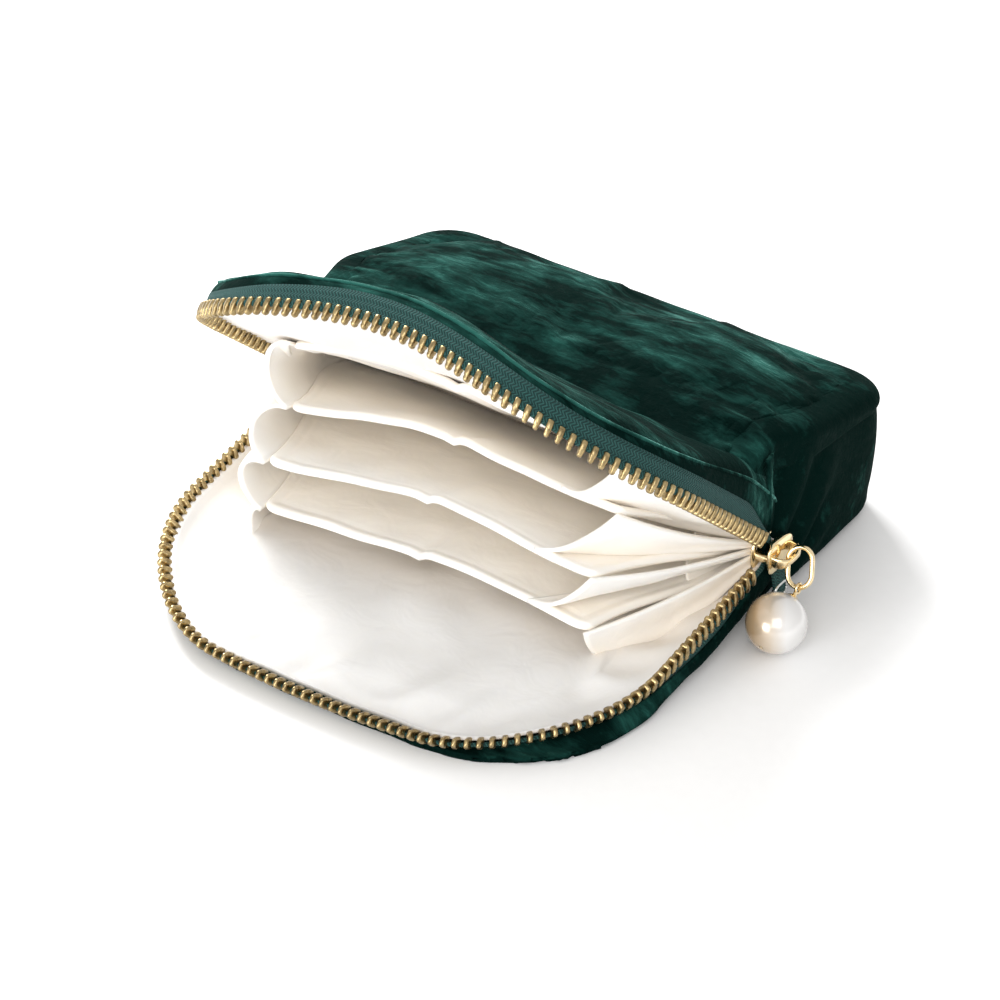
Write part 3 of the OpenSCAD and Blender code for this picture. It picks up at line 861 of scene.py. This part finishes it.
def leaf_half_width(i, s):
    return LEAF_ROOT - LEAF_TAPER * smooth((s - 8) / (LEAF_LENGTHS[i] - 10))


def leaf_drape(i, x, s):
    """Height of a divider over its plane: arched, drooping to the left, notched in its middle."""
    f = np.clip(s / LEAF_LENGTHS[i], 0, 1.05)
    across = x / 50
    arch = LEAF_ARCHES[i] * (1 - across ** 2) * f ** 1.6
    droop = -LEAF_DROOPS[i] * smooth(-across) * f ** 2
    notch = -0.9 * np.exp(-(x / 1.6) ** 2) * f ** 2
    step = 0.5 * np.tanh(x / 1.5) * f ** 2 * np.exp(-(x / 14) ** 2)
    crease = notch + step
    wave = 0.7 * np.sin(x / 11 + 1.3 * i) * f ** 2
    return arch + droop + crease + wave


def divider(i, name):
    """A padded divider, hemmed round its front edge, as a closed form."""
    length, corner = LEAF_LENGTHS[i], 3.5
    columns, rows = 97, 49
    cross = np.sin(np.linspace(-math.pi / 2, math.pi / 2, columns))
    deep = np.sin(np.linspace(0, math.pi / 2, rows))
    c, d = np.meshgrid(cross, deep, indexing="ij")
    into_corner = np.clip((np.abs(c) - 0.9) / 0.1, 0, 1)
    cut = corner * (1 - np.sqrt(np.clip(1 - into_corner ** 2, 0, 1)))
    s_end = length - cut - FRONT_BOW * c ** 2
    s = d * s_end
    x = c * leaf_half_width(i, s)
    from_front = s_end - s
    from_side = (1 - np.abs(c)) * leaf_half_width(i, s)
    edge = np.minimum(from_front, from_side)
    round_off = np.sqrt(np.clip(1 - (1 - np.clip(edge / 1.6, 0, 1)) ** 2, 0, 1))
    hem = np.exp(-((edge - 1.3) / 1.2) ** 2) * 0.3
    stitch = np.exp(-((edge - 3.6) / 0.5) ** 2) * -0.2
    half_t = (0.8 + hem + stitch) * round_off + 0.02
    height = leaf_drape(i, x, s)
    base = leaf_point(i, x, s, height)
    soft = wander(base, 13, 3.3 + i) * 0.35 * round_off
    top = leaf_point(i, x, s, height + half_t + soft)
    bottom = leaf_point(i, x, s, height - half_t + soft)
    n = columns * rows
    faces = grid_faces(columns, rows)
    under = [tuple(n + k for k in reversed(f)) for f in faces]
    front = [k * rows + rows - 1 for k in range(columns)]
    back = [k * rows for k in range(columns)]
    left = list(range(rows))
    right = [(columns - 1) * rows + k for k in range(rows)]
    walls = []
    for line in (front, left, right, back):
        walls += [(a, b, b + n, a + n) for a, b in zip(line, line[1:])]
    obj = new_object(name, np.concatenate([top.reshape(-1, 3), bottom.reshape(-1, 3)]),
                     faces + under + walls, LEAF_SATIN)
    turn_outwards(obj, 0.03)
    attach(obj, LEAVES[i])
    return obj


def leaf_edge(i, side, s, out=0.0):
    """The side edge of divider i; -1 is the floor of the tray, under the lowest divider."""
    if i < 0:
        x = side * (np.interp(s, [0, 20, 60], [63, 60, 51]) + out)
        return np.stack([x, LEAF_PIVOTS[0].y - s, np.full_like(s, 5.2)], -1)
    s = s * (LEAF_LENGTHS[i] - 0.5) / LEAF_LENGTHS[0]
    x = side * (leaf_half_width(i, s) + out)
    return leaf_point(i, x, s, leaf_drape(i, x, s))


def web_points(i, side):
    """The side bellows between divider i and the next: bowed outwards on the left only."""
    left = side < 0
    s = np.linspace(4, LEAF_LENGTHS[0] - (0 if left else 36), 61)
    inset = -0.5 if left else -3.0
    low, high = leaf_edge(i, side, s, inset), leaf_edge(i + 1, side, s, inset)
    front = smooth((s / LEAF_LENGTHS[0] - 0.35) / 0.65)
    bow = 1.5 if i < 0 else 6.0
    depth = 2.0 + bow * front if left else -1.0 - 4.0 * front
    rows = []
    for j in range(25):
        t = j / 24
        fold = math.sin(math.pi * t) ** 0.75
        row = lerp(low, high, smooth(t) * 0.5 + t * 0.5)
        row[:, 0] += side * depth * fold
        row[:, 1] += 2 * front * fold
        rows.append(row)
    return stack_rows(rows)


def front_lip(i, x):
    """A point on the front edge of divider i, or on the tray's floor under them."""
    if i < 0:
        return np.array([x, LEAF_PIVOTS[0].y - 54, 2.6])
    reach = LEAF_LENGTHS[i] - FRONT_BOW * (x / leaf_half_width(i, LEAF_LENGTHS[i])) ** 2
    return leaf_point(i, x, reach + 0.2, leaf_drape(i, x, reach) + 0.4)


def lapped_start(i, t):
    """Where a right cheek starts: on the lower divider's lip, rising to the next one's corner."""
    corner = leaf_edge(i + 1, 1, np.array([LEAF_LENGTHS[0]]), -0.3)[0]
    lap = 1 if i < 0 else 17
    low = front_lip(i, leaf_half_width(max(i, 0), LEAF_LENGTHS[max(i, 0)]) - lap)
    start = lerp(low, corner, t[:, None])
    start[:, 2] = lerp(low[2], corner[2], t ** (1.0 if i < 0 else 2.2))
    start[:, 1] -= 1.2 * np.sin(math.pi * t)
    return start


def cheek_points(i, side):
    """From the bellows' front edge on to the zipper end, in folds that run together there."""
    left = side < 0
    t = np.linspace(0, 1, 25)
    start = web_points(i, side)[-1] if left else lapped_start(i, t)
    end_inset, end_y, end_spread, fullness = (3.5, 1.5, 5.5, 3.4) if left else (2.5, 0.5, 4.0, 2.6)
    sag = 5.0 if i < 0 and not left else 0.0
    share = (i + 1 + t) / len(LEAVES)
    end_z = HINGE + end_spread * (share - 0.5)
    end = np.stack(np.broadcast_arrays(side * (HALF_W - end_inset), end_y, end_z), -1)
    rows = []
    for q in np.linspace(0, 1, 37):
        row = lerp(start, end, q)
        puff = math.sin(math.pi * q) * fullness
        row[:, 1] -= puff * (0.55 + 0.45 * np.cos(2 * math.pi * t))
        row[:, 0] += side * puff * 0.4
        row[:, 2] -= sag * math.sin(math.pi * q) * (1 - t) ** 0.7
        rows.append(row)
    return np.stack(rows, axis=0)


def web(i, side):
    """The side bellows and the cheek over one compartment, at one end; returns the bellows."""
    label = "right" if side > 0 else "left"
    pieces = []
    for kind, points in (("pleat", web_points(i, side)), ("cheek", cheek_points(i, side))):
        ease = np.sin(np.linspace(0, math.pi, points.shape[1]))[None, :]
        soft = wander(points, 11, 1.1 + i + side) * 0.4 * ease
        points = points + normals_of(points) * soft[..., None]
        piece = thicken(sheet(f"{kind}_{i + 1}_{label}", points, LEAF_SATIN), WEB_THICK, 0.0)
        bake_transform(piece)
        pieces.append(piece)
    return pieces[0]


def dividers():
    for i, name in enumerate(("divider_lower", "divider_middle", "divider_upper")):
        pad = divider(i, f"{name}_pad")
        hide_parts(name, f"{name}_board")
    pocket = divider(3, "top_pocket_pad")
    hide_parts("lid_pocket_panel")
    for side in (1, -1):
        web(-1, side)
    for i, name in enumerate(("pleats_lower", "pleats_middle", "pleats_upper")):
        webs = [web(i, side) for side in (1, -1)]
        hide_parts(name)


# ---- slider and pull -------------------------------------------------------

def tube(name, path, widths, heights, material, side_axis):
    """A closed bar along a path, with an oval section that is wide along side_axis."""
    widths, heights = np.broadcast_to(widths, len(path)), np.broadcast_to(heights, len(path))
    along = np.gradient(path, axis=0)
    along /= np.linalg.norm(along, axis=1, keepdims=True)
    side = np.broadcast_to(np.asarray(side_axis, float), path.shape)
    up = np.cross(along, side)
    up /= np.linalg.norm(up, axis=1, keepdims=True)
    corners = 20
    rings = []
    for k in range(corners):
        a = 2 * math.pi * k / corners
        across = squarer(math.cos(a), 0.6) * widths / 2
        over = squarer(math.sin(a), 0.6) * heights / 2
        rings.append(path + side * across[:, None] + up * over[:, None])
    points = np.stack(rings, axis=0)
    count = len(path)
    faces = grid_faces(corners, count, wrap=True)
    faces.append(tuple(k * count for k in range(corners)))
    faces.append(tuple(k * count + count - 1 for k in reversed(range(corners))))
    return turn_outwards(new_object(name, points.reshape(-1, 3), faces, material))


def slider_plate(name, x_face, out_sign):
    """One plate of the slider: wide at the mouth end, narrow behind, with turned-in rails."""
    turns, rings = 64, 16
    half_length, half_height = 5.9, 4.3
    verts = []
    for level in (0, 1):
        for k in range(rings + 1):
            f = k / rings
            for m in range(turns):
                a = 2 * math.pi * m / turns
                y = half_length * f * squarer(math.cos(a), 0.62)
                z = half_height * f * squarer(math.sin(a), 0.62) * (1 - 0.13 * y / 6)
                dome = 0.5 * (1 - f ** 2) - 0.25 * f ** 6
                rail = 0.9 * smooth((abs(z) - 3.2) / 1.0) * smooth((4.6 - abs(y)) / 1.5)
                thick = 1.15 * math.sqrt(max(1 - f ** 10, 0.0)) + rail
                x = dome if level == 0 else dome - thick
                verts.append((x_face + out_sign * x, y, HINGE + z))
    layer = (rings + 1) * turns
    faces = []
    for level in (0, 1):
        for k in range(rings):
            for m in range(turns):
                n = (m + 1) % turns
                a, b = level * layer + k * turns + m, level * layer + k * turns + n
                faces.append((a, b, b + turns, a + turns))
    edge = rings * turns
    faces += [(edge + m, edge + (m + 1) % turns, layer + edge + (m + 1) % turns, layer + edge + m)
              for m in range(turns)]
    return turn_outwards(new_object(name, verts, faces, GOLD), 0.01)


def slider():
    """A domed two-plate slider with its bridge, in place of the plain CAD solids."""
    lo, hi = span("slider_body")
    outer = slider_plate("slider_outer_plate", hi.x, 1)
    inner = slider_plate("slider_inner_plate", lo.x, -1)
    post_x = np.linspace(lo.x + 0.6, hi.x - 0.6, 9)
    post_path = np.stack(np.broadcast_arrays(post_x, -4, HINGE), -1)
    post = tube("slider_post", post_path, 2.2, 2.2, GOLD, (0, 0, 1))
    rod = span("slider_bail")[1].x - 0.6
    a = np.linspace(-0.12, math.pi + 0.12, 41)
    arch_x = hi.x + (rod - hi.x) * squarer(np.sin(a), 0.55)
    arch_y = -4.3 * squarer(np.cos(a), 0.8)
    width = 1.5 + 1.6 * np.cos(a) ** 2
    arch_path = np.stack(np.broadcast_arrays(arch_x, arch_y, HINGE), -1)
    bridge = tube("slider_bridge", arch_path, width, 1.15, GOLD, (0, 0, 1))
    for piece in (outer, inner, post, bridge):
        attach(piece, "slider")
    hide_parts("slider_body")
    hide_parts("slider_bail")


def tail_x(z):
    """Where the tape end hangs: it swings out a little on its way down."""
    lo, hi = span("tape_tail")
    fall = (hi.z - z) / (hi.z - lo.z)
    return hi.x - 0.3 + 0.9 * np.sin(np.clip(fall, 0, 1.3) * 2.2)


def tail():
    """The end of the tape hangs below the slider, its tip sealed with a silvery rim."""
    lo, hi = span("tape_tail")
    foot = span("tail_crimp")[0].z
    down = np.linspace(hi.z + 1.5, foot + 0.8, 25)
    across = np.linspace(lo.y, hi.y, 13)
    z, y = np.meshgrid(down, across, indexing="ij")
    points = np.stack([tail_x(z) + 0.12 * np.cos(y * 1.4), y, z], -1)
    uv = np.stack([z, y + 3], -1)
    strip = thicken(sheet("tape_end", points, TAPE, uv), 0.6, 0.0)
    a = np.linspace(0, 2 * math.pi, 61)
    rim_y = (lo.y + hi.y) / 2 + 2.75 * squarer(np.cos(a), 0.55)
    rim_up = foot + 2.9 + 2.3 * squarer(np.sin(a), 0.55)
    rim_path = np.stack([tail_x(rim_up), rim_y, rim_up], -1)
    tip = tube("tape_end_seal", rim_path, 1.2, 0.8, SILVER, (1, 0, 0))
    for piece in (strip, tip):
        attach(piece, "base")
    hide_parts("tape_tail")
    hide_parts("tail_crimp")


def dress(node, material):
    """Gives a CAD node its material."""
    obj = frame["nodes"][node]
    obj.data.materials.clear()
    obj.data.materials.append(material)
    return obj


def hardware():
    """The slider and tape end, and the CAD nodes that stay in sight."""
    slider()
    tail()
    for node, material in (("pull_ring", GOLD), ("pearl_cap", GOLD), ("pearl", PEARL)):
        shade_smooth(dress(node, material).data)
    for node in ("upper_top_stop", "lower_top_stop", "bottom_stop"):
        stop = dress(node, BRASS)
        bevel(stop, 0.5)
        shade_smooth(stop.data)
    for node in ("accordion_spine", "rear_top_lining"):
        dress(node, SATIN)


# ---- build -----------------------------------------------------------------

lid = lid_skin()
rear_top = top_panel()
ends = gusset("end_gusset", VELVET, 0, 1.3)
ends_inside = gusset("end_lining", SATIN, 2.4, 0.0)
body = base_skin()
tray = base_lining()
lid_inside = lid_lining()
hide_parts("lid_panel", "lid_padding")
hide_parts("rear_top_panel")
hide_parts("rear_gusset")
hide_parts("spine_lining", "spine_board")
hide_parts("base_panel", "base_padding")
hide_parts("base_lining")
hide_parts("lid_lining")
zipper()
dividers()
hardware()


# ---- stage -----------------------------------------------------------------

AIM = Vector((0, -20, 25))        # what the camera and the lamps point at


def stage():
    """A pale floor, an even white sky and three broad studio lamps."""
    half, drop = 2500, -0.15
    corners = [(-half, -half, drop), (half, -half, drop), (half, half, drop), (-half, half, drop)]
    new_object("floor", corners, [(0, 1, 2, 3)], floor_material())
    world = bpy.data.worlds.new("studio")
    bpy.context.scene.world = world
    world.use_nodes = True
    world.node_tree.nodes["Background"].inputs["Color"].default_value = (1, 0.99, 0.975, 1)
    world.node_tree.nodes["Background"].inputs["Strength"].default_value = 0.8
    light("key", (-480, 300, 520), 360, 8)
    light("fill", (420, -620, 520), 500, 2.4)
    light("front", (-60, -900, 210), 420, 4.2)
    bpy.context.scene.view_settings.view_transform = "Standard"


def floor_material():
    t = Nodes("floor")
    grain = t.noise(300, 2)
    return t.finish(Base_Color=t.mix(grain, (0.9, 0.9, 0.9), (0.93, 0.93, 0.93)), Roughness=0.6)


def light(name, place, size, watts):
    data = bpy.data.lights.new(name, "AREA")
    data.size = size * MM
    data.energy = watts
    obj = bpy.data.objects.new(name, data)
    obj.location = Vector(place) * MM
    aim = AIM * MM - obj.location
    obj.rotation_mode = "QUATERNION"
    obj.rotation_quaternion = aim.to_track_quat("-Z", "Y")
    bpy.context.scene.collection.objects.link(obj)


def camera():
    """The photo's view, from the front right and above."""
    azimuth, elevation, distance = math.radians(34), math.radians(35), 1240
    back = Vector((math.sin(azimuth) * math.cos(elevation),
                   -math.cos(azimuth) * math.cos(elevation), math.sin(elevation)))
    data = bpy.data.cameras.new("camera")
    data.lens, data.sensor_width = 178.6, 36
    data.shift_x, data.shift_y = 0.0085, -0.026
    data.clip_start, data.clip_end = 0.05, 20
    obj = bpy.data.objects.new("camera", data)
    obj.location = (AIM + back * distance) * MM
    obj.rotation_mode = "QUATERNION"
    obj.rotation_quaternion = (-back).to_track_quat("-Z", "Y")
    bpy.context.scene.collection.objects.link(obj)
    bpy.context.scene.camera = obj


stage()
camera()
